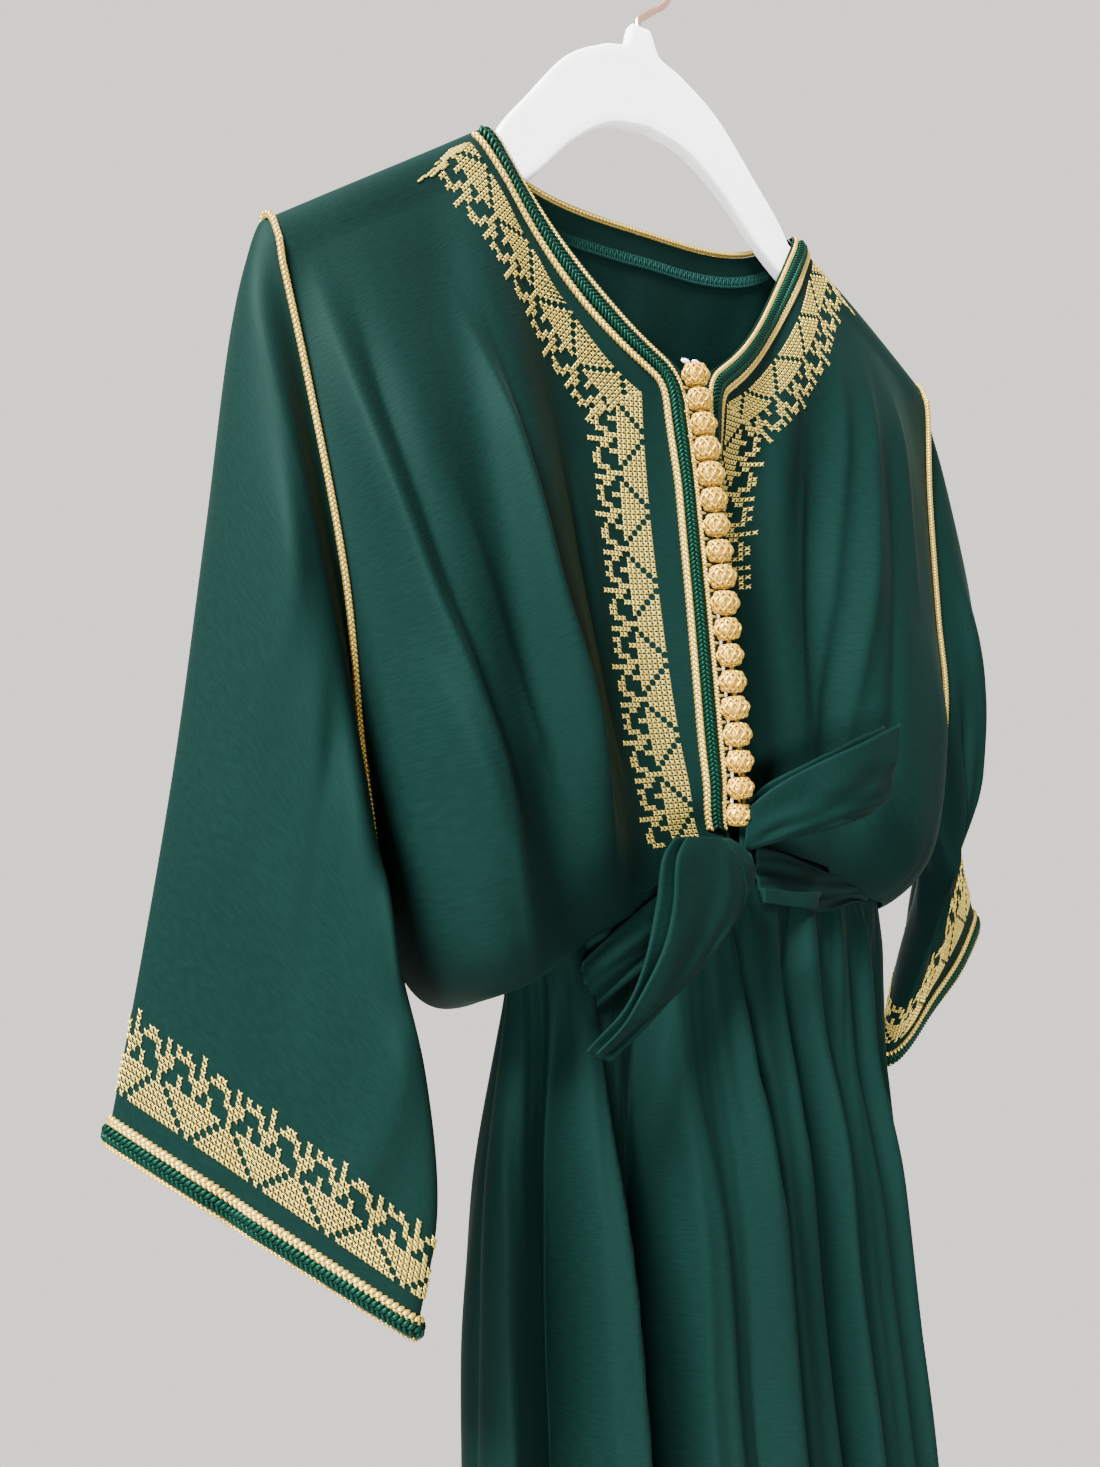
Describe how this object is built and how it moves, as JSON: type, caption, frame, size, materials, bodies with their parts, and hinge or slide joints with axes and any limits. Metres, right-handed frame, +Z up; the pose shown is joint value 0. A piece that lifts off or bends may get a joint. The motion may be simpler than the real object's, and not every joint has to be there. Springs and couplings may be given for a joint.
{
  "type": "moroccan kaftan on a hanger",
  "caption": "Child's long kaftan with wide sleeves, corded trims, a row of knot buttons and a tied belt, hanging on a slim arched hanger.",
  "frame": {"origin": "inner top of the hanger's hook, the point that holds the kaftan up", "axes": "+Z up; the front of the kaftan faces -Y; the wearer's left side is at +X"},
  "size_m": [0.4328, 0.0934, 0.901],
  "materials": {
    "cloth": "soft satin crepe",
    "gold_cord": "twisted metallic cord",
    "braid": "green braid between gold cords",
    "button_knot": "woven silk knot",
    "flock": "flocked",
    "hook_metal": "polished rose gold"
  },
  "bodies": {
    "root": {"back": "cloth", "belt_left": "cloth", "belt_right": "cloth", "bow_knot": "cloth", "bow_left": "cloth", "bow_right": "cloth", "bow_tail": "cloth", "button_01": "button_knot", "button_02": "button_knot", "button_03": "button_knot", "button_04": "button_knot", "button_05": "button_knot", "button_06": "button_knot", "button_07": "button_knot", "button_08": "button_knot", "button_09": "button_knot", "button_10": "button_knot", "button_11": "button_knot", "button_12": "button_knot", "button_13": "button_knot", "button_14": "button_knot", "button_15": "button_knot", "button_16": "button_knot", "button_17": "button_knot", "button_18": "button_knot", "cuff_trim_left": "braid", "cuff_trim_right": "braid", "front_left": "cloth", "front_right": "cloth", "hanger_body": "flock", "hanger_hook": "hook_metal", "neck_cord_back": "gold_cord", "piping_left": "gold_cord", "piping_right": "gold_cord", "skirt_back": "cloth", "skirt_front": "cloth", "sleeve_left": "cloth", "sleeve_right": "cloth", "trim_left": "braid", "trim_right": "braid"}
  },
  "joints": []
}
